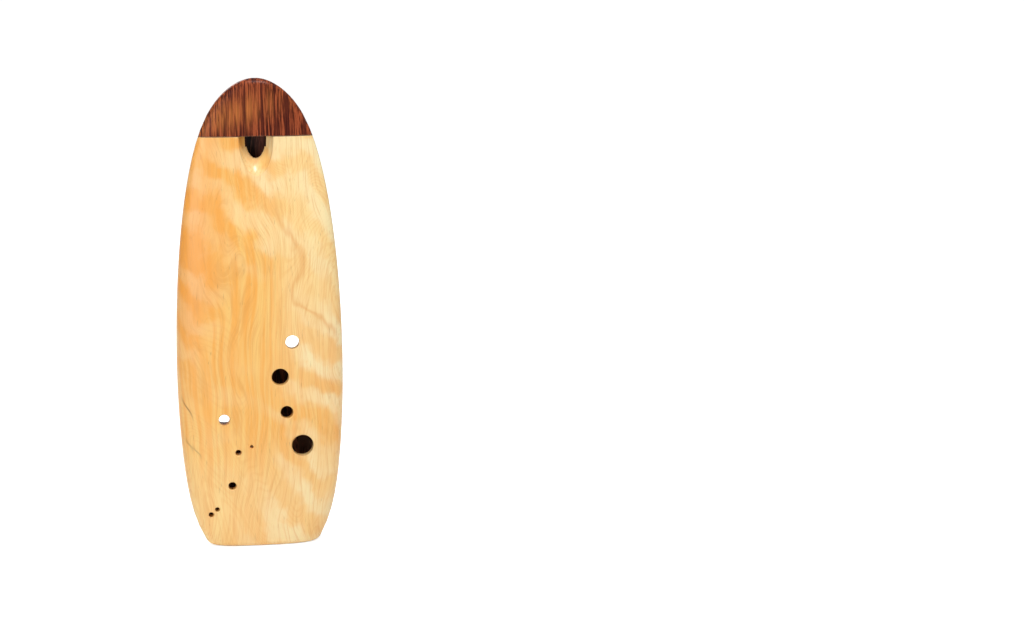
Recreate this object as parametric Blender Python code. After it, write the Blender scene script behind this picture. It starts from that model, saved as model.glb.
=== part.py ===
"""A wooden inline ocarina: a maple body, a dark wood mouthpiece cap and a walnut back shell.

It stands on its flat foot with the mouthpiece up. +Z runs up to the tip, -Y faces the player's
audience with the finger holes, and +Y is the back with the two thumb holes. Metres.
"""

import math

import bmesh
import bpy
import numpy as np

# Overall form
LENGTH = 0.212
WIDTH = 0.0748
FRONT_DEPTH = 0.0120
BACK_DEPTH = 0.0180
WIDEST_HEIGHT = 0.082
BELLY_TAPER = 0.0070
FOOT_TUCK = 0.0056
FOOT_EDGE_RADIUS = 0.0022
TIP_EDGE_RADIUS = 0.0034

# How full the outline stays towards the tip, and how pointed the last stretch is
HEAD_FULLNESS = 0.37
TIP_POINT = 0.10

# Squareness of the cross-section: 2 is an ellipse, more is squarer
FRONT_SQUARENESS = 3.0
BACK_SQUARENESS = 2.4
BEAK_SQUARENESS = 2.0

# Depth along the body, as (share of the length, share of the depth)
FRONT_PROFILE = ((0.0, 0.84), (0.36, 1.0), (0.62, 0.80), (0.80, 0.42), (0.88, 0.33), (1.0, 0.29))
BACK_PROFILE = ((0.0, 0.80), (0.36, 1.0), (0.62, 0.96), (0.80, 0.86), (1.0, 0.74))

# Walls round the sounding chamber
FRONT_WALL = 0.0042
SIDE_WALL = 0.0046
BACK_WALL = 0.0050
FOOT_WALL = 0.0070
CHAMBER_SHOULDER_RADIUS = 0.010
CHAMBER_FOOT_RADIUS = 0.012

# Mouthpiece: the cap is the roof of the windway, and the beak is hollowed behind for the lip
CAP_HEIGHT = 0.0256
LIP_CREASE_BELOW_TIP = 0.0162
LIP_COVE_HEIGHT = 0.0100
BEAK_BACK_DEPTH = 0.0046
WINDWAY_EXIT_WIDTH = 0.0092
WINDWAY_ENTRY_WIDTH = 0.0120
WINDWAY_EXIT_HEIGHT = 0.0015
WINDWAY_ENTRY_HEIGHT = 0.0021

# Window: a hollow gouged below the cap, which breaks through at the sharp labium
LABIUM_DROP = 0.0005
SCOOP_LENGTH = 0.0176
WINDOW_LENGTH = 0.0101
WINDOW_WIDTH = 0.0093
GOUGE_STANDOFF = 0.0040

# Joints between the woods
SHELL_TOP_BELOW_TIP = 0.0196
SHELL_SEAM_BEHIND_MIDDLE = 0.0012
JOINT_GAP = 0.0003

# Finger holes on the front, as name: (x, height, diameter)
FINGER_HOLES = {
    "left_index": (0.0140, 0.0944, 0.0062),
    "left_middle": (0.0083, 0.0787, 0.0077),
    "left_ring": (0.0110, 0.0624, 0.0057),
    "left_little": (0.0179, 0.0466, 0.0098),
    "right_index": (-0.0171, 0.0597, 0.0049),
    "right_middle": (-0.0111, 0.0444, 0.0027),
    "right_middle_sub": (-0.0051, 0.0470, 0.0015),
    "right_ring": (-0.0141, 0.0289, 0.0036),
    "right_little_sub": (-0.0211, 0.0179, 0.0021),
    "right_little": (-0.0239, 0.0153, 0.0023),
}
THUMB_HOLES = {
    "left_thumb": (0.0150, 0.0910, 0.0103),
    "right_thumb": (-0.0158, 0.0595, 0.0142),
}
RIM_SOFTENING = 0.00035

# The drills: how far their cone stands out and widens, and their depth as a share of the wall
DRILL_CONE_HEIGHT = 0.0021
DRILL_CONE_SPREAD = 0.00175
DRILL_DEPTH = 1.8

# Facets
RING_POINTS = 64
CHAMBER_POINTS = 40
BODY_STEPS = 30
CHAMBER_STEPS = 18
ARC_STEPS = 6
SCOOP_STEPS = 13
SCOOP_POINTS = 40
SCOOP_POLE = 0.04
HOLE_POINTS = 28
SMALL_HOLE_POINTS = 16
SMALL_HOLE = 0.003

# Places worked out from the sizes above
HALF_WIDTH = WIDTH / 2
CAP_SEAM = LENGTH - CAP_HEIGHT
SHELL_TOP = LENGTH - SHELL_TOP_BELOW_TIP
LIP_CREASE = LENGTH - LIP_CREASE_BELOW_TIP
REACH = LENGTH + WIDTH

# A cutter passes the face that it opens by this much, so that the two never coincide
HAIR = 0.0001


def smooth_profile(stations, share):
    """The value at share of a smooth curve through the stations, which never overshoots them."""
    at = np.array([s[0] for s in stations])
    value = np.array([s[1] for s in stations])
    rise = np.diff(value) / np.diff(at)
    slope = np.zeros(len(at))
    for i in range(1, len(at) - 1):
        if rise[i - 1] * rise[i] > 0:
            slope[i] = 2 * rise[i - 1] * rise[i] / (rise[i - 1] + rise[i])
    slope[0], slope[-1] = rise[0], rise[-1]
    share = min(max(share, at[0]), at[-1])
    i = min(int(np.searchsorted(at, share, side="right")) - 1, len(at) - 2)
    span = at[i + 1] - at[i]
    t = (share - at[i]) / span
    start = (1 + 2 * t) * (1 - t) ** 2 * value[i] + t * (1 - t) ** 2 * span * slope[i]
    end = t * t * (3 - 2 * t) * value[i + 1] + t * t * (t - 1) * span * slope[i + 1]
    return start + end


def half_width(z):
    """Half the outline's width at height z, before the edges are rounded."""
    if z >= WIDEST_HEIGHT:
        up = min((z - WIDEST_HEIGHT) / (LENGTH - WIDEST_HEIGHT), 1.0)
        return HALF_WIDTH * (1 - up**2) ** (HEAD_FULLNESS + TIP_POINT * up**12)
    down = (WIDEST_HEIGHT - z) / WIDEST_HEIGHT
    return HALF_WIDTH - BELLY_TAPER * down**2 - FOOT_TUCK * down**7


def front_depth(z):
    return FRONT_DEPTH * smooth_profile(FRONT_PROFILE, z / LENGTH)


def full_back_depth(z):
    return BACK_DEPTH * smooth_profile(BACK_PROFILE, z / LENGTH)


def lip_share(z):
    """0 up to the crease behind the mouthpiece, then a quarter-ellipse cove to 1 on the beak."""
    climb = min(max((z - LIP_CREASE) / LIP_COVE_HEIGHT, 0.0), 1.0)
    return math.sqrt(1 - (1 - climb) ** 2)


def back_depth(z):
    share = lip_share(z)
    return (1 - share) * full_back_depth(z) + share * BEAK_BACK_DEPTH


def edge_rounding(z):
    """How much of the depth is left at the tip, and how far the foot's rounded edge draws in."""
    over = max(z - (LENGTH - TIP_EDGE_RADIUS), 0.0) / TIP_EDGE_RADIUS
    tip = math.sqrt(max(1 - over**2, 0.0))
    under = max(FOOT_EDGE_RADIUS - z, 0.0)
    foot = FOOT_EDGE_RADIUS - math.sqrt(max(FOOT_EDGE_RADIUS**2 - under**2, 0.0))
    return tip, foot


def squircle_half(count, squareness):
    """count + 1 points from (1, 0) over (0, 1) to (-1, 0), evenly spaced along the curve."""
    angle = np.linspace(0, math.pi, 721)
    x = np.sign(np.cos(angle)) * np.abs(np.cos(angle)) ** (2 / squareness)
    y = np.abs(np.sin(angle)) ** (2 / squareness)
    run = np.concatenate([[0], np.cumsum(np.hypot(np.diff(x), np.diff(y)))])
    even = np.linspace(0, run[-1], count + 1)
    return np.interp(even, run, x), np.interp(even, run, y)


def section(count, half, front, back, middle, z, front_squareness, back_squareness):
    """A closed ring at height z: its front half towards -Y and its back half towards +Y."""
    front_x, front_y = squircle_half(count // 2, front_squareness)
    back_x, back_y = squircle_half(count // 2, back_squareness)
    ring = [(half * x, middle - front * y, z) for x, y in zip(front_x, front_y)]
    ring += [(half * x, middle + back * y, z) for x, y in zip(back_x[::-1], back_y[::-1])][1:-1]
    return ring


def object_from(name, bm, colour=None, roughness=0.4):
    bmesh.ops.recalc_face_normals(bm, faces=bm.faces)
    mesh = bpy.data.meshes.new(name)
    bm.to_mesh(mesh)
    bm.free()
    obj = bpy.data.objects.new(name, mesh)
    bpy.context.scene.collection.objects.link(obj)
    if colour is None:
        obj.hide_render = True
        obj.display_type = "WIRE"
    else:
        material = bpy.data.materials.new(name + "_wood")
        material.use_nodes = True
        shader = material.node_tree.nodes["Principled BSDF"]
        shader.inputs["Base Color"].default_value = (*colour, 1.0)
        shader.inputs["Roughness"].default_value = roughness
        mesh.materials.append(material)
        mesh.shade_smooth()
        mesh.set_sharp_from_angle(angle=math.radians(32))
    return obj


def loft(rings):
    """A closed solid through the rings, with a flat first and last ring."""
    bm = bmesh.new()
    rows = [[bm.verts.new(p) for p in ring] for ring in rings]
    for low, high in zip(rows, rows[1:]):
        for i in range(len(low)):
            j = (i + 1) % len(low)
            bm.faces.new((low[i], low[j], high[j], high[i]))
    bm.faces.new(rows[0])
    bm.faces.new(rows[-1])
    return bm


def blank_heights():
    """Heights of the rings: close together round the foot's edge, the lip cove and the tip."""
    foot = [FOOT_EDGE_RADIUS * (1 - math.cos(a)) for a in np.linspace(0, math.pi / 2, ARC_STEPS)]
    body = list(np.linspace(FOOT_EDGE_RADIUS, LIP_CREASE, BODY_STEPS + 1))[1:]
    cove = [LIP_CREASE + LIP_COVE_HEIGHT * (1 - math.cos(a))
            for a in np.linspace(0, math.pi / 2, ARC_STEPS + 3)][1:]
    last = cove[-1]
    tip = [last + (LENGTH - last) * math.sin(a) for a in np.linspace(0, math.pi / 2, ARC_STEPS + 3)]
    tip[-1] = LENGTH - HAIR / 2
    return foot + body + cove + tip[1:]


def blank():
    """The outer form of the whole instrument, as one solid."""
    rings = []
    for z in blank_heights():
        tip, foot = edge_rounding(z)
        back_squareness = BACK_SQUARENESS + lip_share(z) * (BEAK_SQUARENESS - BACK_SQUARENESS)
        rings.append(section(RING_POINTS, half_width(z) - foot, tip * front_depth(z) - foot,
                             tip * back_depth(z) - foot, 0.0, z, FRONT_SQUARENESS, back_squareness))
    return loft(rings)


def labium_wall(z):
    """The front wall's thickness, which below the window brings the labium level with the windway."""
    wanted = front_depth(z) + LABIUM_DROP
    blend = min(max((z - (CAP_SEAM - 2 * SCOOP_LENGTH)) / SCOOP_LENGTH, 0.0), 1.0)
    blend = blend * blend * (3 - 2 * blend)
    return (1 - blend) * FRONT_WALL + blend * wanted


def chamber():
    """The hollow: it ends in a flat block face below the windway, so the window opens into it."""
    top = CAP_SEAM - 2 * HAIR
    rings = []
    foot = [FOOT_WALL + CHAMBER_FOOT_RADIUS * (1 - math.cos(a))
            for a in np.linspace(0, math.pi / 2, ARC_STEPS)]
    shoulder = [top - CHAMBER_SHOULDER_RADIUS * (1 - math.sin(a))
                for a in np.linspace(0, math.pi / 2, ARC_STEPS)]
    middle = list(np.linspace(foot[-1], shoulder[0], CHAMBER_STEPS))[1:-1]
    for z in foot + middle + shoulder:
        low = max(foot[-1] - z, 0.0)
        high = max(z - shoulder[0], 0.0)
        inset = CHAMBER_FOOT_RADIUS - math.sqrt(max(CHAMBER_FOOT_RADIUS**2 - low**2, 0.0))
        inset += CHAMBER_SHOULDER_RADIUS - math.sqrt(max(CHAMBER_SHOULDER_RADIUS**2 - high**2, 0.0))
        near = -front_depth(z) + labium_wall(z)
        far = full_back_depth(z) - BACK_WALL
        half_depth = (far - near) / 2
        rings.append(section(CHAMBER_POINTS, half_width(z) - SIDE_WALL - inset, half_depth,
                             half_depth, (near + far) / 2, z, FRONT_SQUARENESS, BACK_SQUARENESS))
    return loft(rings)


def box(low, high):
    bm = bmesh.new()
    bmesh.ops.create_cube(bm, size=1.0)
    for v in bm.verts:
        v.co = [low[i] if v.co[i] < 0 else high[i] for i in range(3)]
    return bm


def windway():
    """The slot that the player blows through: wide at the tip, and narrow where it meets the window."""
    bm = box((-1, -1, -1), (1, 1, 1))
    for v in bm.verts:
        entry = v.co.z > 0
        width = WINDWAY_ENTRY_WIDTH if entry else WINDWAY_EXIT_WIDTH
        height = WINDWAY_ENTRY_HEIGHT if entry else WINDWAY_EXIT_HEIGHT
        v.co = (math.copysign(width / 2, v.co.x),
                height if v.co.y > 0 else -JOINT_GAP,
                LENGTH + HAIR if entry else CAP_SEAM - CHAMBER_SHOULDER_RADIUS / 2)
    return bm


def scoop():
    """Half an ellipsoid, hung below the cap: its mouth is the hollow, its floor the labium ramp."""
    face = front_depth(CAP_SEAM)
    middle_y = -(face + GOUGE_STANDOFF)
    sink = GOUGE_STANDOFF + face + LABIUM_DROP
    bottom = CAP_SEAM - SCOOP_LENGTH
    lift = face + GOUGE_STANDOFF - front_depth(bottom)
    # Solve for the two radii, so that the hollow ends at the scoop's length and the window at its own
    square_depth = sink**2 * SCOOP_LENGTH**2 - lift**2 * WINDOW_LENGTH**2
    square_depth /= SCOOP_LENGTH**2 - WINDOW_LENGTH**2
    depth = math.sqrt(square_depth)
    tall = WINDOW_LENGTH / math.sqrt(1 - (sink / depth) ** 2)
    wide = WINDOW_WIDTH / 2 / math.sqrt(1 - (sink / depth) ** 2)
    rings = []
    for a in np.linspace(SCOOP_POLE, math.pi / 2, SCOOP_STEPS):
        shrink = math.sin(a)
        z = CAP_SEAM - HAIR - tall * math.cos(a)
        rings.append([(wide * shrink * math.cos(t), middle_y + depth * shrink * math.sin(t), z)
                      for t in np.linspace(0, 2 * math.pi, SCOOP_POINTS, endpoint=False)])
    return loft(rings)


def surface_y(x, z, back):
    """Where the outer surface lies at x and height z, on the back or on the front."""
    depth, squareness = (back_depth(z), BACK_SQUARENESS) if back else (front_depth(z), FRONT_SQUARENESS)
    y = depth * (1 - abs(x / half_width(z)) ** squareness) ** (1 / squareness)
    return y if back else -y


def drills(holes, back):
    """One cutter with every hole of one side, each with a softened rim at the surface."""
    bm = bmesh.new()
    side = 1 if back else -1
    for x, z, diameter in holes.values():
        rim = surface_y(x, z, back)
        radius = diameter / 2
        count = SMALL_HOLE_POINTS if diameter < SMALL_HOLE else HOLE_POINTS
        reach = (BACK_WALL if back else FRONT_WALL) * DRILL_DEPTH
        profile = ((rim + side * DRILL_CONE_HEIGHT, radius + DRILL_CONE_SPREAD),
                   (rim - side * RIM_SOFTENING, radius),
                   (rim - side * reach, radius))
        rows = [[bm.verts.new((x + r * math.cos(t), y, z + r * math.sin(t)))
                 for t in np.linspace(0, 2 * math.pi, count, endpoint=False)] for y, r in profile]
        for near, far in zip(rows, rows[1:]):
            for i in range(count):
                j = (i + 1) % count
                bm.faces.new((near[i], near[j], far[j], far[i]))
        bm.faces.new(rows[0])
        bm.faces.new(rows[-1])
    return bm


def cut(obj, cutter, operation="DIFFERENCE"):
    modifier = obj.modifiers.new(cutter.name, "BOOLEAN")
    modifier.object = cutter
    modifier.operation = operation


def main():
    for obj in list(bpy.data.objects):
        bpy.data.objects.remove(obj)

    hollow = object_from("chamber_cutter", chamber())
    slot = object_from("windway_cutter", windway())
    gouge = object_from("scoop_cutter", scoop())
    finger_drill = object_from("finger_drill", drills(FINGER_HOLES, back=False))
    thumb_drill = object_from("thumb_drill", drills(THUMB_HOLES, back=True))
    cap_seat = object_from("cap_seat_cutter",
                           box((-REACH, -REACH, CAP_SEAM - JOINT_GAP), (REACH, 0.0, REACH)))
    cap_zone = object_from("cap_zone", box((-REACH, -REACH, CAP_SEAM), (REACH, -JOINT_GAP, REACH)))
    seam = SHELL_SEAM_BEHIND_MIDDLE
    shell_seat = object_from("shell_seat_cutter", box((-REACH, seam, -REACH), (REACH, REACH, SHELL_TOP)))
    shell_zone = object_from("shell_zone", box((-REACH, seam + JOINT_GAP, -REACH),
                                               (REACH, REACH, SHELL_TOP - JOINT_GAP)))

    body = object_from("front_body", blank(), (0.72, 0.47, 0.20), 0.35)
    for cutter in (shell_seat, cap_seat, hollow, slot, gouge, finger_drill):
        cut(body, cutter)

    cap = object_from("mouthpiece_cap", blank(), (0.25, 0.06, 0.03), 0.35)
    cut(cap, cap_zone, "INTERSECT")

    shell = object_from("back_shell", blank(), (0.13, 0.04, 0.03), 0.35)
    cut(shell, shell_zone, "INTERSECT")
    cut(shell, hollow)
    cut(shell, thumb_drill)


main()
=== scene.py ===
# %% [markdown]
# # An inline ocarina in three woods
#
# An ocarina is a hollow vessel with a whistle built into one end. This one is called inline, because
# the mouthpiece lies in line with the body. The maker carves a front from figured maple and a back from
# walnut, glues the two into a closed chamber, and lets a strip of dark red-brown wood into the front of
# the head. Air goes through the slot under that strip and meets the sharp edge below the window.
#
# The solid model already holds the shape of the three pieces. This lesson gives them their woods, and
# then lights and photographs them standing on a white table.

import math

import bmesh
import bpy
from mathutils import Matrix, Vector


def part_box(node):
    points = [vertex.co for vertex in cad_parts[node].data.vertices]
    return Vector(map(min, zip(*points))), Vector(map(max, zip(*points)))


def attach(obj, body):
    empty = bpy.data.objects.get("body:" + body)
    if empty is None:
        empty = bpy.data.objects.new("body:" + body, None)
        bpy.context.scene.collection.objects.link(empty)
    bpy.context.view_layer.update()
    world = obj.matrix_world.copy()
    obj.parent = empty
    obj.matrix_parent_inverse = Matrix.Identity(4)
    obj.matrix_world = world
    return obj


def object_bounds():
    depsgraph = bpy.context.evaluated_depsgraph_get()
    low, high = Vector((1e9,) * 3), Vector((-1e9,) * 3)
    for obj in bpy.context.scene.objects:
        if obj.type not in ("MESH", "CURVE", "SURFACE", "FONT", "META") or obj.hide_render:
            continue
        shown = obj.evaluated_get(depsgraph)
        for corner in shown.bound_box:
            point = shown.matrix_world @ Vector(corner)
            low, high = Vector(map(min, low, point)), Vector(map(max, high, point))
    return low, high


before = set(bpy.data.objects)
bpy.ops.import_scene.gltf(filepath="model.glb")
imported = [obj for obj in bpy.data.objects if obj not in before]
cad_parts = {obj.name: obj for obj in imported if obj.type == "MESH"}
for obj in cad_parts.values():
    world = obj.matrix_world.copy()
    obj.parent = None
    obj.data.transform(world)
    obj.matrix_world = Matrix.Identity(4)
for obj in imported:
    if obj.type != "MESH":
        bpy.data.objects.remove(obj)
CAD_LOW, CAD_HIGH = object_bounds()
front_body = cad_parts["front_body"]
mouthpiece_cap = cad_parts["mouthpiece_cap"]
back_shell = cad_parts["back_shell"]
HEIGHT = CAD_HIGH.z - CAD_LOW.z
WIDTH = CAD_HIGH.x - CAD_LOW.x
MM_PER_METRE = 1000
print("pieces:", sorted(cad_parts))
print("size in mm:", [round(MM_PER_METRE * (b - a), 1) for a, b in zip(CAD_LOW, CAD_HIGH)])

# %% [markdown]
# ## Small helpers
#
# Every wood is drawn by a network of nodes. These helpers keep each network short enough to read: one
# adds a node, one connects or fills a socket, and the others wrap the sums, noises and tints used most.

# %% Helpers for node networks
def put(tree, socket, value):
    """Link a socket's value in, or set a plain number or vector."""
    if isinstance(value, bpy.types.NodeSocket):
        tree.links.new(value, socket)
    else:
        socket.default_value = value


def add(tree, kind, **settings):
    node = tree.nodes.new(kind)
    for key, value in settings.items():
        setattr(node, key, value)
    return node


def maths(tree, operation, *values):
    node = add(tree, "ShaderNodeMath", operation=operation)
    for socket, value in zip(node.inputs, values):
        put(tree, socket, value)
    return node.outputs[0]


def spread(tree, value, low, high, to_low=0.0, to_high=1.0):
    """Smoothly map low..high to another range, and hold the ends."""
    node = add(tree, "ShaderNodeMapRange", interpolation_type="SMOOTHSTEP")
    for socket, item in zip(node.inputs, (value, low, high, to_low, to_high)):
        put(tree, socket, item)
    return node.outputs[0]


def stretched(tree, vector, x, y, z):
    node = add(tree, "ShaderNodeVectorMath", operation="MULTIPLY")
    put(tree, node.inputs[0], vector)
    node.inputs[1].default_value = (x, y, z)
    return node.outputs[0]


def noise(tree, vector, detail=3.0, roughness=0.55, distortion=0.0):
    """A noise at scale 1, because its position comes in already stretched."""
    node = add(tree, "ShaderNodeTexNoise")
    put(tree, node.inputs["Vector"], vector)
    node.inputs["Scale"].default_value = 1.0
    node.inputs["Detail"].default_value = detail
    node.inputs["Roughness"].default_value = roughness
    node.inputs["Distortion"].default_value = distortion
    return node.outputs[0]


def blended(tree, share, first, second):
    """Mix two colours; first and second are colours or sockets."""
    node = add(tree, "ShaderNodeMix", data_type="RGBA")
    put(tree, node.inputs[0], share)
    for socket, item in ((node.inputs[6], first), (node.inputs[7], second)):
        put(tree, socket, item if isinstance(item, bpy.types.NodeSocket) else (*item, 1.0))
    return node.outputs[2]


def tinted(tree, colour, mask, strength, tint):
    """Lay a tint over the colour where the mask is, at the given strength."""
    return blended(tree, maths(tree, "MULTIPLY", mask, strength), colour, tint)


def new_group(name, inputs, outputs):
    tree = bpy.data.node_groups.new(name, "ShaderNodeTree")
    for label, kind, value in inputs:
        socket = tree.interface.new_socket(name=label, in_out="INPUT", socket_type=kind)
        if value is not None:
            socket.default_value = value
    for label in outputs:
        tree.interface.new_socket(name=label, in_out="OUTPUT", socket_type="NodeSocketFloat")
    return tree, add(tree, "NodeGroupInput").outputs, add(tree, "NodeGroupOutput").inputs


def use_group(tree, group, position=None, **values):
    node = add(tree, "ShaderNodeGroup", node_tree=group)
    if position is not None:
        put(tree, node.inputs["Position"], position)
    for label, value in values.items():
        put(tree, node.inputs[label], value)
    return node.outputs


print("helpers ready")

# %% [markdown]
# ## Grain that flows along the body
#
# A tree's growth rings are cut lengthwise when a body is carved from a plank, so they show as long
# streaks that wander round old knots. The group pushes the sideways position about with a slow noise
# and then reads a second noise that is drawn out along the body. Broad is the slow noise on its own: it
# gives the paler and deeper patches of a board.

# %% Group: flowing grain
# How fast each noise varies over a metre: sideways, front to back, and along the body
SLOW_NOISE = (26, 26, 11)
# How fast the streaks vary front to back and along the body, as shares of their density sideways
STREAK_DEPTH = 0.4
STREAK_LENGTH = 0.035

flow, given, result = new_group(
    "flowing_grain",
    (("Position", "NodeSocketVector", None), ("Density", "NodeSocketFloat", 400.0),
     ("Wander", "NodeSocketFloat", 0.01)),
    ("Streaks", "Broad"))
slow = noise(flow, stretched(flow, given["Position"], *SLOW_NOISE), detail=2.0)
split = add(flow, "ShaderNodeSeparateXYZ")
put(flow, split.inputs[0], given["Position"])
shift = maths(flow, "MULTIPLY", maths(flow, "SUBTRACT", slow, 0.5), given["Wander"])
across = maths(flow, "ADD", split.outputs[0], shift)
join = add(flow, "ShaderNodeCombineXYZ")
put(flow, join.inputs[0], maths(flow, "MULTIPLY", across, given["Density"]))
put(flow, join.inputs[1], maths(flow, "MULTIPLY", split.outputs[1],
                                maths(flow, "MULTIPLY", given["Density"], STREAK_DEPTH)))
put(flow, join.inputs[2], maths(flow, "MULTIPLY", split.outputs[2],
                                maths(flow, "MULTIPLY", given["Density"], STREAK_LENGTH)))
put(flow, result["Streaks"], noise(flow, join.outputs[0], detail=5.0, roughness=0.6))
put(flow, result["Broad"], slow)
print(flow.name, "has", len(flow.nodes), "nodes")

# %% [markdown]
# ## Curl, pores and single lines
#
# In figured maple the fibres themselves run in waves, so each wave turns towards the light and away
# again. That shows as slanting pale bands. Pores are the cut ends of the tree's vessels, short dark
# dashes along the grain. A single line is a growth ring that happens to stand out: it is a soft ridge
# of given width along a path. Where the saw meets a wavy ring at a shallow angle, the ring comes out as
# nested curves like the contours on a map, and the last group draws those.

# %% Groups: curl, pores, single line, contours
DRIFT_NOISE = (34, 34, 26)
PATCH_NOISE = (22, 22, 13)
PORE_NOISE = (1700, 1700, 130)
CONTOUR_NOISE = (17, 17, 9)
# How far the slow noise bends a band, in metres
DRIFT = 0.060
PORE_SOFTNESS = 0.09

curl, given, result = new_group(
    "curl_bands",
    (("Position", "NodeSocketVector", None), ("Bands", "NodeSocketFloat", 90.0),
     ("Slant", "NodeSocketFloat", 0.6)),
    ("Band",))
split = add(curl, "ShaderNodeSeparateXYZ")
put(curl, split.inputs[0], given["Position"])
bend = noise(curl, stretched(curl, given["Position"], *DRIFT_NOISE), detail=4.0)
along = maths(curl, "ADD", split.outputs[2], maths(curl, "MULTIPLY", split.outputs[0], given["Slant"]))
drifted = maths(curl, "ADD", along, maths(curl, "MULTIPLY", bend, DRIFT))
wave = maths(curl, "SINE", maths(curl, "MULTIPLY", drifted,
                                 maths(curl, "MULTIPLY", given["Bands"], math.tau)))
patch = spread(curl, noise(curl, stretched(curl, given["Position"], *PATCH_NOISE)), 0.38, 0.62)
put(curl, result["Band"], maths(curl, "MULTIPLY", spread(curl, wave, -1.0, 1.0), patch))

pores, given, result = new_group(
    "pores", (("Position", "NodeSocketVector", None), ("Amount", "NodeSocketFloat", 0.36)), ("Mask",))
dashes = noise(pores, stretched(pores, given["Position"], *PORE_NOISE), detail=2.0)
edge = maths(pores, "SUBTRACT", 1.0, given["Amount"])
put(pores, result["Mask"], spread(pores, dashes, edge, maths(pores, "ADD", edge, PORE_SOFTNESS)))

line, given, result = new_group(
    "single_line", (("Offset", "NodeSocketFloat", 0.0), ("Width", "NodeSocketFloat", 0.001)), ("Mask",))
near = maths(line, "DIVIDE", given["Offset"], given["Width"])
squared = maths(line, "MULTIPLY", near, near)
put(line, result["Mask"], maths(line, "EXPONENT", maths(line, "MULTIPLY", squared, -1.0)))

contour, given, result = new_group(
    "contour_lines", (("Position", "NodeSocketVector", None), ("Rings", "NodeSocketFloat", 12.0)), ("Lines",))
field = noise(contour, stretched(contour, given["Position"], *CONTOUR_NOISE), detail=1.6, distortion=0.9)
turns = maths(contour, "MULTIPLY", field, maths(contour, "MULTIPLY", given["Rings"], math.tau))
put(contour, result["Lines"], spread(contour, maths(contour, "SINE", turns), 0.0, 0.95))
print("groups:", sorted(g.name for g in bpy.data.node_groups))

# %% [markdown]
# ## A softened edge with a painted highlight
#
# Sanded wood has no knife-sharp corner. The bevel in the next group looks a little way round each edge,
# and where the rounded direction differs from the flat one, the edge is. A painted highlight makes it paler
# there.

# %% Group: worn edge
EDGE_RADIUS = 0.0005
EDGE_SAMPLES = 4
# How well the two directions agree where the edge begins, and where it is at its full strength
EDGE_BEGINS, EDGE_FULL = 0.99, 0.85

edge_rounding = bpy.data.node_groups.new("rounded_edge", "ShaderNodeTree")
radius = edge_rounding.interface.new_socket(name="Radius", in_out="INPUT", socket_type="NodeSocketFloat")
radius.default_value = EDGE_RADIUS
edge_rounding.interface.new_socket(name="Mask", in_out="OUTPUT", socket_type="NodeSocketFloat")
edge_rounding.interface.new_socket(name="Normal", in_out="OUTPUT", socket_type="NodeSocketVector")
given, result = add(edge_rounding, "NodeGroupInput").outputs, add(edge_rounding, "NodeGroupOutput").inputs
rounded = add(edge_rounding, "ShaderNodeBevel", samples=EDGE_SAMPLES)
put(edge_rounding, rounded.inputs["Radius"], given["Radius"])
facing = add(edge_rounding, "ShaderNodeNewGeometry")
agree = add(edge_rounding, "ShaderNodeVectorMath", operation="DOT_PRODUCT")
put(edge_rounding, agree.inputs[0], rounded.outputs[0])
put(edge_rounding, agree.inputs[1], facing.outputs["Normal"])
put(edge_rounding, result["Mask"], spread(edge_rounding, agree.outputs["Value"], EDGE_BEGINS, EDGE_FULL))
put(edge_rounding, result["Normal"], rounded.outputs[0])
print(edge_rounding.name, "ready")

# %% [markdown]
# ## Paths for the lines that stand out
#
# A path is a list of sideways places and heights in millimetres, along one ring, streak or crack. The
# curve node turns the height of a point on the wood into the sideways place of that line there.

# %% Helpers: a line along a path, and how a wood starts and ends
# A line fades over this many millimetres on either side of its ends
PATH_FADE = 4
# How strongly the painted edge highlight lightens an edge, and its colour
EDGE_HIGHLIGHT = 0.25
EDGE_HIGHLIGHT_PALE = (0.95, 0.74, 0.45)
RELIEF_DEPTH = 0.0003


def path_line(tree, sideways, upwards, wobble, stations, width, top, bottom):
    """A mask along the path, between the heights bottom and top (all in millimetres)."""
    share = maths(tree, "DIVIDE", upwards, HEIGHT)
    curve = add(tree, "ShaderNodeFloatCurve")
    put(tree, curve.inputs["Value"], share)
    points = curve.mapping.curves[0].points
    places = sorted((z / MM_PER_METRE / HEIGHT, 0.5 + x / MM_PER_METRE / WIDTH) for x, z in stations)
    points[0].location, points[1].location = (0.0, places[0][1]), (1.0, places[-1][1])
    for place in places:
        points.new(*place)
    curve.mapping.update()
    centre = maths(tree, "MULTIPLY", maths(tree, "SUBTRACT", curve.outputs[0], 0.5), WIDTH)
    offset = maths(tree, "ADD", maths(tree, "SUBTRACT", sideways, centre), wobble)
    mask = use_group(tree, line, Offset=offset, Width=width / MM_PER_METRE)["Mask"]
    low = spread(tree, upwards, (bottom - PATH_FADE) / MM_PER_METRE, (bottom + PATH_FADE) / MM_PER_METRE)
    high = spread(tree, upwards, (top + PATH_FADE) / MM_PER_METRE, (top - PATH_FADE) / MM_PER_METRE)
    return maths(tree, "MULTIPLY", mask, maths(tree, "MULTIPLY", low, high))


def start_wood(name):
    """An empty material: its network and shader, and a point's position, sideways place and height."""
    material = bpy.data.materials.new(name)
    material.use_nodes = True
    tree = material.node_tree
    position = add(tree, "ShaderNodeTexCoord").outputs["Object"]
    split = add(tree, "ShaderNodeSeparateXYZ")
    put(tree, split.inputs[0], position)
    return material, tree, tree.nodes["Principled BSDF"], position, split.outputs[0], split.outputs[2]


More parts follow.
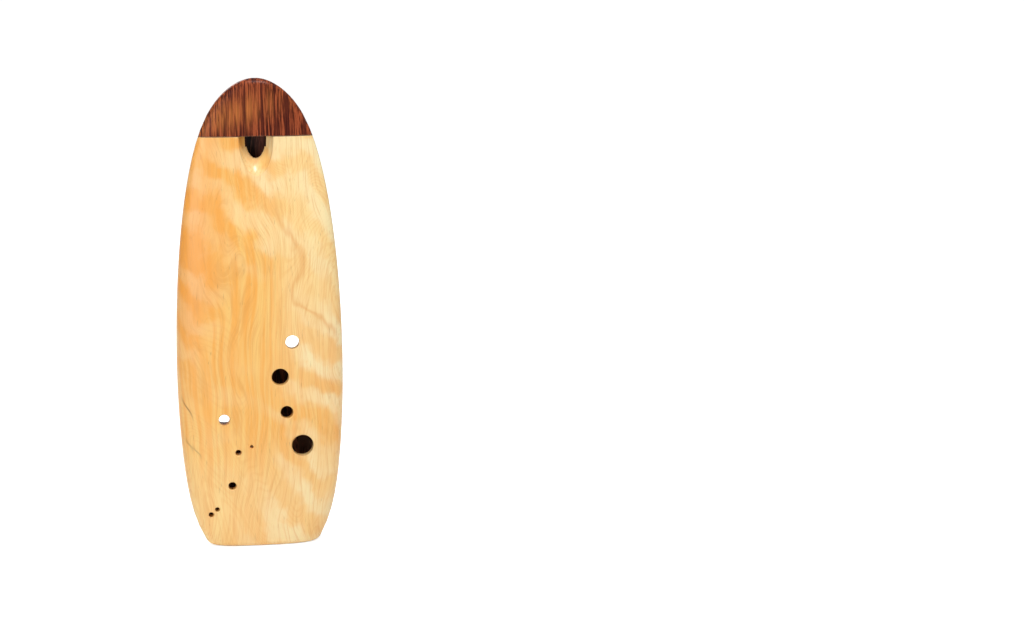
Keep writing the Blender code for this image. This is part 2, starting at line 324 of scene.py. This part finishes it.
def finish_wood(tree, shader, colour, rough, height, relief, shine):
    """Round the edges and paint a highlight along them, and give the surface its shine and its fine relief.
    """
    edge = use_group(tree, edge_rounding, Radius=EDGE_RADIUS)
    # Paints a pale highlight along the edges
    put(tree, shader.inputs["Base Color"], tinted(tree, colour, edge["Mask"], EDGE_HIGHLIGHT, EDGE_HIGHLIGHT_PALE))
    put(tree, shader.inputs["Roughness"], rough)
    bump = add(tree, "ShaderNodeBump")
    bump.inputs["Strength"].default_value = relief
    bump.inputs["Distance"].default_value = RELIEF_DEPTH
    put(tree, bump.inputs["Height"], height)
    put(tree, bump.inputs["Normal"], edge["Normal"])
    put(tree, shader.inputs["Normal"], bump.outputs[0])
    shader.inputs["Specular IOR Level"].default_value = shine


print("path and finish helpers ready")

# %% [markdown]
# ## The front: figured maple
#
# Maple is nearly white when it is cut and turns honey-coloured under oil. A painted highlight makes the
# front pale cream on the upper right, it is paler low on the belly too, and it turns orange along the
# left shoulder. Faint nested curves cross it, and pale bands of painted sheen from the curl lie over
# them, stronger on the right. One growth ring wanders down the right side. Fine brown flecks lie along
# the grain, and near the left edge a short drying crack and two small knot marks stayed in the wood. The
# oil leaves a satin shine, smoother on the pale bands.

# %% Maple
AMBER = (0.93, 0.44, 0.088)
HONEY = (0.94, 0.58, 0.175)
DEEP_AMBER = (0.90, 0.37, 0.070)
ORANGE = (0.90, 0.36, 0.050)
PALE_CREAM_AND_HIGHLIGHT = (0.97, 0.78, 0.39)
CONTOUR_BROWN = (0.82, 0.37, 0.085)
CURL_SHEEN = (0.97, 0.82, 0.47)
RING_BROWN = (0.76, 0.28, 0.05)
STREAK_BROWN = (0.74, 0.31, 0.065)
FLECK_BROWN = (0.36, 0.14, 0.04)
MARK_BROWN = (0.16, 0.05, 0.018)
# Each patch fades in from its first place to its second, in metres sideways or up
LEFT_SIDE = (-0.010, -0.034)
SHOULDER_BELOW = (0.085, 0.120)
SHOULDER_ABOVE = (0.186, 0.160)
HIGHLIGHT_SIDE = (0.008, 0.034)
HIGHLIGHT_BELOW = (0.045, 0.120)
PALE_BELLY = (0.060, 0.020)
CURL_SHEEN_SIDE = (-0.016, 0.020)
RING_WOBBLE = 0.006

maple, tree, shader, position, sideways, upwards = start_wood("figured_maple")
grain = use_group(tree, flow, position, Density=420.0, Wander=0.020)
fine = use_group(tree, flow, position, Density=1250.0, Wander=0.045)
bands = use_group(tree, curl, position, Bands=46.0, Slant=0.75)["Band"]
flecks = use_group(tree, pores, position, Amount=0.34)["Mask"]
colour = blended(tree, spread(tree, grain["Streaks"], 0.36, 0.66), AMBER, HONEY)
colour = blended(tree, spread(tree, grain["Broad"], 0.40, 0.66, 0.0, 0.55), colour, DEEP_AMBER)
left = spread(tree, sideways, *LEFT_SIDE)
shoulder = maths(tree, "MULTIPLY", spread(tree, upwards, *SHOULDER_BELOW),
                 spread(tree, upwards, *SHOULDER_ABOVE))
colour = tinted(tree, colour, maths(tree, "MULTIPLY", left, shoulder), 0.85, ORANGE)
# A painted highlight makes the upper right pale cream, and the belly is paler low down as well
right = spread(tree, maths(tree, "ADD", sideways, maths(tree, "MULTIPLY", grain["Broad"], 0.03)),
               *HIGHLIGHT_SIDE)
painted_highlight = maths(tree, "MULTIPLY", right, spread(tree, upwards, *HIGHLIGHT_BELOW))
belly = maths(tree, "MULTIPLY", spread(tree, upwards, *PALE_BELLY), 0.75)
colour = tinted(tree, colour, maths(tree, "MAXIMUM", painted_highlight, belly), 0.62, PALE_CREAM_AND_HIGHLIGHT)
waves = use_group(tree, contour, position, Rings=64.0)["Lines"]
colour = tinted(tree, colour, waves, 0.17, CONTOUR_BROWN)
# The curl's slanting pale bands are painted sheen, stronger towards the right
curl_sheen_strength = spread(tree, maths(tree, "ADD", sideways, maths(tree, "MULTIPLY", upwards, 0.06)),
             *CURL_SHEEN_SIDE, 0.22, 0.85)
colour = tinted(tree, colour, bands, curl_sheen_strength, CURL_SHEEN)
wobble = maths(tree, "MULTIPLY", maths(tree, "SUBTRACT", grain["Streaks"], 0.5), RING_WOBBLE)
RING = ((7, 165), (9.8, 150), (19, 129), (14.4, 116), (25.8, 106), (35, 91))
ring = path_line(tree, sideways, upwards, wobble, RING, 1.5, 158, 96)
colour = tinted(tree, colour, ring, 0.38, RING_BROWN)
colour = tinted(tree, colour, spread(tree, fine["Streaks"], 0.46, 0.66), 0.34, STREAK_BROWN)
colour = tinted(tree, colour, flecks, 0.35, FLECK_BROWN)
# A short drying crack and two small knot marks near the left edge: path, width, top, bottom
MARKS = (
    (((-35.5, 70), (-31.0, 60)), 0.40, 68, 62),
    (((-34.0, 50), (-31.5, 46)), 0.55, 49, 47),
    (((-31.0, 47), (-28.0, 43)), 0.45, 46, 44),
)
for stations, width, top, bottom in MARKS:
    mark = path_line(tree, sideways, upwards, 0.0, stations, width, top, bottom)
    colour = tinted(tree, colour, mark, 0.75, MARK_BROWN)
rough = maths(tree, "SUBTRACT", spread(tree, fine["Streaks"], 0.3, 0.7, 0.30, 0.44),
              maths(tree, "MULTIPLY", bands, 0.07))
height = maths(tree, "SUBTRACT", maths(tree, "MULTIPLY", fine["Streaks"], 0.5), flecks)
finish_wood(tree, shader, colour, rough, height, relief=0.10, shine=0.30)
shader.inputs["Coat Weight"].default_value = 0.45
shader.inputs["Coat Roughness"].default_value = 0.26
print(maple.name, "has", len(tree.nodes), "nodes")

# %% [markdown]
# ## The mouthpiece cap: dark striped wood
#
# The cap is cut so that its growth rings stand on edge. They show as narrow stripes side by side, with
# wider dark ones among them. Along a slanting strip the fibres turn and glow orange. The strip climbs
# to the right and fades past the middle.

# %% Cap wood
STRIPE_DARK = (0.050, 0.005, 0.002)
STRIPE_RED = (0.37, 0.080, 0.028)
FLAME_ORANGE = (0.60, 0.19, 0.045)
WIDE_DARK = (0.055, 0.006, 0.004)
CAP_PORE = (0.045, 0.006, 0.002)
# The strip's height at the middle, its width and the places that it fades between, in metres, and how
# much it climbs to the right
FLAME_HEIGHT = 0.199
FLAME_WIDTH = 0.0062
FLAME_FADE = (0.012, -0.004)
FLAME_CLIMB = 0.28

cap_wood, tree, shader, position, sideways, upwards = start_wood("striped_cap_wood")
stripes = use_group(tree, flow, position, Density=1700.0, Wander=0.004)
flame = use_group(tree, flow, position, Density=260.0, Wander=0.012)
dashes = use_group(tree, pores, position, Amount=0.40)["Mask"]
colour = blended(tree, spread(tree, stripes["Streaks"], 0.42, 0.58), STRIPE_DARK, STRIPE_RED)
climb = maths(tree, "SUBTRACT", maths(tree, "SUBTRACT", upwards, FLAME_HEIGHT),
              maths(tree, "MULTIPLY", sideways, FLAME_CLIMB))
strip = use_group(tree, line, Offset=climb, Width=FLAME_WIDTH)["Mask"]
glow = maths(tree, "MULTIPLY", maths(tree, "MULTIPLY", strip, spread(tree, flame["Streaks"], 0.36, 0.60)),
             spread(tree, sideways, *FLAME_FADE, 0.25, 1.0))
colour = tinted(tree, colour, glow, 0.62, FLAME_ORANGE)
wide = use_group(tree, flow, position, Density=640.0, Wander=0.003)
colour = tinted(tree, colour, spread(tree, wide["Streaks"], 0.48, 0.58), 0.80, WIDE_DARK)
colour = tinted(tree, colour, dashes, 0.6, CAP_PORE)
rough = spread(tree, stripes["Streaks"], 0.3, 0.7, 0.44, 0.32)
height = maths(tree, "SUBTRACT", stripes["Streaks"], dashes)
finish_wood(tree, shader, colour, rough, height, relief=0.12, shine=0.14)
print(cap_wood.name, "has", len(tree.nodes), "nodes")

# %% [markdown]
# ## The back: figured walnut
#
# This walnut is almost black in its rings and red-brown between them, and dark nested curves run
# through parts of it. A thin bright ring slants down from the top. Three wider gold streaks run down
# the board, one near the middle and one beside each edge. A painted sheen makes the wood paler near
# the foot, and faint slanting bands of painted sheen lie over it.
# Walnut has larger pores than maple, so the relief is stronger here.

# %% Walnut
RING_BLACK = (0.018, 0.005, 0.004)
WALNUT_BROWN = (0.25, 0.072, 0.042)
FIBRE_TAN = (0.62, 0.230, 0.110)
FIGURE_BLACK = (0.014, 0.005, 0.005)
PAINTED_BELLY_SHEEN = (0.60, 0.32, 0.235)
PAINTED_SHEEN = (0.36, 0.22, 0.18)
STREAK_GOLD = (0.62, 0.24, 0.09)
WALNUT_PORE = (0.012, 0.005, 0.004)
WILD_NOISE = (24, 24, 14)
# A painted sheen makes the belly paler from the first height to the second, in metres
BELLY_SHEEN_FADE = (0.064, 0.036)
STREAK_WOBBLE = 0.003

walnut, tree, shader, position, sideways, upwards = start_wood("figured_walnut")
grain = use_group(tree, flow, position, Density=300.0, Wander=0.050)
fine = use_group(tree, flow, position, Density=1300.0, Wander=0.050)
dashes = use_group(tree, pores, position, Amount=0.42)["Mask"]
sheen = use_group(tree, curl, position, Bands=34.0, Slant=-0.5)["Band"]
colour = blended(tree, spread(tree, grain["Streaks"], 0.38, 0.62), RING_BLACK, WALNUT_BROWN)
colour = blended(tree, spread(tree, fine["Streaks"], 0.50, 0.70, 0.0, 0.55), colour, FIBRE_TAN)
figure = use_group(tree, contour, position, Rings=26.0)["Lines"]
wild = spread(tree, noise(tree, stretched(tree, position, *WILD_NOISE)), 0.36, 0.50)
colour = tinted(tree, colour, maths(tree, "MULTIPLY", figure, wild), 0.88, FIGURE_BLACK)
# Painted sheen: the belly paler near the foot
colour = tinted(tree, colour, spread(tree, upwards, *BELLY_SHEEN_FADE), 0.42, PAINTED_BELLY_SHEEN)
# Slanting pale bands of painted sheen
colour = tinted(tree, colour, sheen, 0.20, PAINTED_SHEEN)
wobble = maths(tree, "MULTIPLY", maths(tree, "SUBTRACT", grain["Streaks"], 0.5), STREAK_WOBBLE)
# Each streak is its path, its width, its top, its bottom and its strength
STREAKS = (
    (((-7.7, 192), (-2.0, 160), (2.5, 134), (5.1, 108)), 0.5, 190, 108, 0.8),
    (((27.0, 172), (28.5, 140), (28.0, 108)), 2.4, 170, 104, 0.75),
    (((-13.4, 185), (-11.0, 120), (-13.5, 66)), 2.6, 178, 72, 0.70),
    (((-25.0, 165), (-28.0, 120), (-30.0, 70)), 3.6, 160, 70, 0.65),
)
for stations, width, top, bottom, strength in STREAKS:
    mask = path_line(tree, sideways, upwards, wobble, stations, width, top, bottom)
    mask = maths(tree, "MULTIPLY", mask, spread(tree, fine["Streaks"], 0.38, 0.60))
    colour = tinted(tree, colour, mask, strength, STREAK_GOLD)
colour = tinted(tree, colour, dashes, 0.6, WALNUT_PORE)
rough = spread(tree, fine["Streaks"], 0.3, 0.7, 0.46, 0.34)
height = maths(tree, "SUBTRACT", maths(tree, "MULTIPLY", fine["Streaks"], 0.6), dashes)
finish_wood(tree, shader, colour, rough, height, relief=0.18, shine=0.16)
print(walnut.name, "has", len(tree.nodes), "nodes and", len(STREAKS), "streaks")

# %% [markdown]
# ## Dress the three pieces
#
# The solid model comes as separate triangles. The modifier joins the corners that share a place and
# shades across every edge flatter than a set angle, so the belly looks carved and the seams and hole
# rims stay crisp. Corners count as sharing a place up to two thousandths of a millimetre apart.

# %% Smooth shading and materials
SHARP_ANGLE = 32.0
MERGE_DISTANCE = 0.000002
smooth = bpy.data.node_groups.new("smooth_by_angle", "GeometryNodeTree")
smooth.interface.new_socket(name="Geometry", in_out="INPUT", socket_type="NodeSocketGeometry")
smooth.interface.new_socket(name="Geometry", in_out="OUTPUT", socket_type="NodeSocketGeometry")
source, sink = add(smooth, "NodeGroupInput"), add(smooth, "NodeGroupOutput")
bare = add(smooth, "GeometryNodeRemoveAttribute")
bare.inputs["Name"].default_value = "custom_normal"
merge = add(smooth, "GeometryNodeMergeByDistance")
merge.inputs["Distance"].default_value = MERGE_DISTANCE
faces = add(smooth, "GeometryNodeSetShadeSmooth", domain="FACE")
edges = add(smooth, "GeometryNodeSetShadeSmooth", domain="EDGE")
angle = add(smooth, "GeometryNodeInputMeshEdgeAngle")
flat = add(smooth, "FunctionNodeCompare", data_type="FLOAT", operation="LESS_THAN")
put(smooth, flat.inputs[0], angle.outputs["Unsigned Angle"])
flat.inputs[1].default_value = math.radians(SHARP_ANGLE)
put(smooth, edges.inputs["Shade Smooth"], flat.outputs[0])
for first, second in ((source, bare), (bare, merge), (merge, faces), (faces, edges), (edges, sink)):
    put(smooth, second.inputs[0], first.outputs[0])

DRESS = ((front_body, maple, "maple"), (mouthpiece_cap, cap_wood, "cap_wood"), (back_shell, walnut, "walnut"))
for piece, wood, slot_name in DRESS:
    for slot in piece.material_slots:
        slot.material = wood
    piece.modifiers.new("smooth_by_angle", "NODES").node_group = smooth
    print(piece.name, "wears", wood.name, "on", len(piece.data.polygons), "faces")

# %% [markdown]
# ## The glue between the woods
#
# The three woods are glued together, and the solid model leaves each glue line as a narrow gap. Dried
# glue fills it as a thin brown film. Each film is copied from a joint face of the wood beside it, so it
# ends exactly where the wood does. The cap's films come from the front's faces, because the front is
# cut away at the air slot and the window, and glue must stay out of both.

# %% Glue film
GLUE_GAP = 0.0003
GLUE_CLEAR = 0.00002
PLANE_TOLERANCE = 0.00002
GLUE_DARK = (0.10, 0.035, 0.014)
GLUE_AMBER = (0.26, 0.11, 0.045)
SPECK_NOISE = (900, 900, 300)


def glue_film(name, node, axis, at, toward):
    """A closed sheet on the flat joint face of node, across axis at the place at, facing toward."""
    mesh = node.data
    corners, faces, uses = {}, [], {}
    for face in mesh.polygons:
        points = [mesh.vertices[i].co for i in face.vertices]
        if all(abs(p[axis] - at) < PLANE_TOLERANCE for p in points):
            ring = [corners.setdefault(tuple(round(c, 7) for c in p), len(corners)) for p in points]
            if len(set(ring)) == len(ring):
                faces.append(ring)
    for ring in faces:
        for first, second in zip(ring, ring[1:] + ring[:1]):
            uses.setdefault(frozenset((first, second)), []).append((first, second))
    layers = []
    for depth in (GLUE_CLEAR, GLUE_GAP - GLUE_CLEAR):
        for corner in corners:
            point = list(corner)
            point[axis] = at + toward * depth
            layers.append(point)
    count = len(corners)
    sides = [(a, b, b + count, a + count) for pairs in uses.values() if len(pairs) == 1 for a, b in pairs]
    film = bpy.data.meshes.new(name)
    film.from_pydata(layers, [], faces + [[i + count for i in reversed(ring)] for ring in faces] + sides)
    work = bmesh.new()
    work.from_mesh(film)
    bmesh.ops.recalc_face_normals(work, faces=work.faces)
    work.to_mesh(film)
    work.free()
    sheet = bpy.data.objects.new(name, film)
    bpy.context.scene.collection.objects.link(sheet)
    return sheet


glue, tree, shader, position = start_wood("dried_glue")[:4]
specks = noise(tree, stretched(tree, position, *SPECK_NOISE))
put(tree, shader.inputs["Base Color"], blended(tree, specks, GLUE_DARK, GLUE_AMBER))
put(tree, shader.inputs["Roughness"], spread(tree, specks, 0.3, 0.7, 0.35, 0.55))
shell_low, shell_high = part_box("back_shell")
cap_low, cap_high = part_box("mouthpiece_cap")
# Each film is its name, the wood it is copied from, the axis across it, its place and its direction
FILMS = (
    ("glue_seam", back_shell, 1, shell_low.y, -1),
    ("glue_shoulder", back_shell, 2, shell_high.z, 1),
    ("glue_cap_back", front_body, 1, cap_high.y + GLUE_GAP, -1),
    ("glue_cap_foot", front_body, 2, cap_low.z - GLUE_GAP, 1),
)
for name, wood, axis, at, toward in FILMS:
    film = glue_film(name, wood, axis, at, toward)
    film.data.materials.append(glue)
    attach(film, "root")
    print(name, "has", len(film.data.polygons), "faces at", round(MM_PER_METRE * at, 2), "mm")

# %% [markdown]
# ## The white table
#
# The instrument stands on a plain white sheet. For the camera the sheet also glows, so it comes out
# white all the way up. The glow nearly hides the shadow round the foot.

# %% Floor and world
FLOOR_SIZE = 12.0
FLOOR_DROP = 0.0002
FLOOR_GLOW = 0.72
AMBIENT = 0.36
WHITE = (1.0, 1.0, 1.0, 1.0)
SHEET_WHITE = (0.9, 0.9, 0.9, 1.0)
SHEET_ROUGHNESS = 0.9
bpy.ops.mesh.primitive_plane_add(size=FLOOR_SIZE, location=(0.0, 0.0, -FLOOR_DROP))
floor = bpy.context.object
floor.name = "floor"
paper = bpy.data.materials.new("white_sheet")
paper.use_nodes = True
tree = paper.node_tree
shader = tree.nodes["Principled BSDF"]
shader.inputs["Base Color"].default_value = SHEET_WHITE
shader.inputs["Roughness"].default_value = SHEET_ROUGHNESS
shader.inputs["Emission Color"].default_value = WHITE
seen = add(tree, "ShaderNodeLightPath").outputs["Is Camera Ray"]
put(tree, shader.inputs["Emission Strength"], maths(tree, "MULTIPLY", seen, FLOOR_GLOW))
floor.data.materials.append(paper)

world = bpy.context.scene.world or bpy.data.worlds.new("white_room")
bpy.context.scene.world = world
world.use_nodes = True
tree = world.node_tree
sky = tree.nodes["Background"]
sky.inputs["Color"].default_value = WHITE
seen = add(tree, "ShaderNodeLightPath").outputs["Is Camera Ray"]
put(tree, sky.inputs["Strength"], spread(tree, seen, 0.0, 1.0, AMBIENT, 1.0))
print("floor", [round(v, 2) for v in floor.dimensions], "ambient", AMBIENT)

# %% [markdown]
# ## Light
#
# A soft box high above and to the right shades the top of the gouged hollow a little, and leaves a
# small bright spot on the ramp below the window. A weaker one on the left keeps the left edge from going
# dull, and a third behind lights the walnut for a look from the back.

# %% Soft boxes
# Each box is its name, place, width and power in watts
BOXES = (
    ("key_box", (0.18, -0.36, 1.02), 0.26, 6.2),
    ("fill_box", (-0.60, -0.85, 0.35), 0.60, 2.9),
    ("back_box", (-0.35, 0.75, 0.70), 0.55, 4.2),
)
for name, place, width, power in BOXES:
    lamp = bpy.data.lights.new(name, "AREA")
    lamp.size, lamp.energy = width, power
    box = bpy.data.objects.new(name, lamp)
    box.location = place
    bpy.context.scene.collection.objects.link(box)
    aim = (CAD_LOW + CAD_HIGH) / 2 - box.location
    box.rotation_euler = aim.to_track_quat("-Z", "Y").to_euler()
    print(name, "at", place, power, "W")

# %% [markdown]
# ## Camera
#
# The camera stands about a metre away, slightly to the left and above, with a long lens. The instrument
# stands in the left half of the picture, so the camera looks past it to its right.

# %% Camera
SENSOR_MM = 36.0
LENS_MM = 80.61
CAMERA_PLACE = (-0.053518, -1.021184, 0.296525)
LOOK_DOWN = 10.789
LOOK_RIGHT = 9.404
camera = bpy.data.objects.new("camera", bpy.data.cameras.new("camera"))
bpy.context.scene.collection.objects.link(camera)
camera.data.sensor_width = SENSOR_MM
camera.data.lens = LENS_MM
camera.location = CAMERA_PLACE
camera.rotation_euler = (math.radians(90 - LOOK_DOWN), 0.0, math.radians(-LOOK_RIGHT))
bpy.context.scene.camera = camera
bpy.context.scene.view_settings.view_transform = "Standard"
print("camera at", CAMERA_PLACE, "lens", LENS_MM)
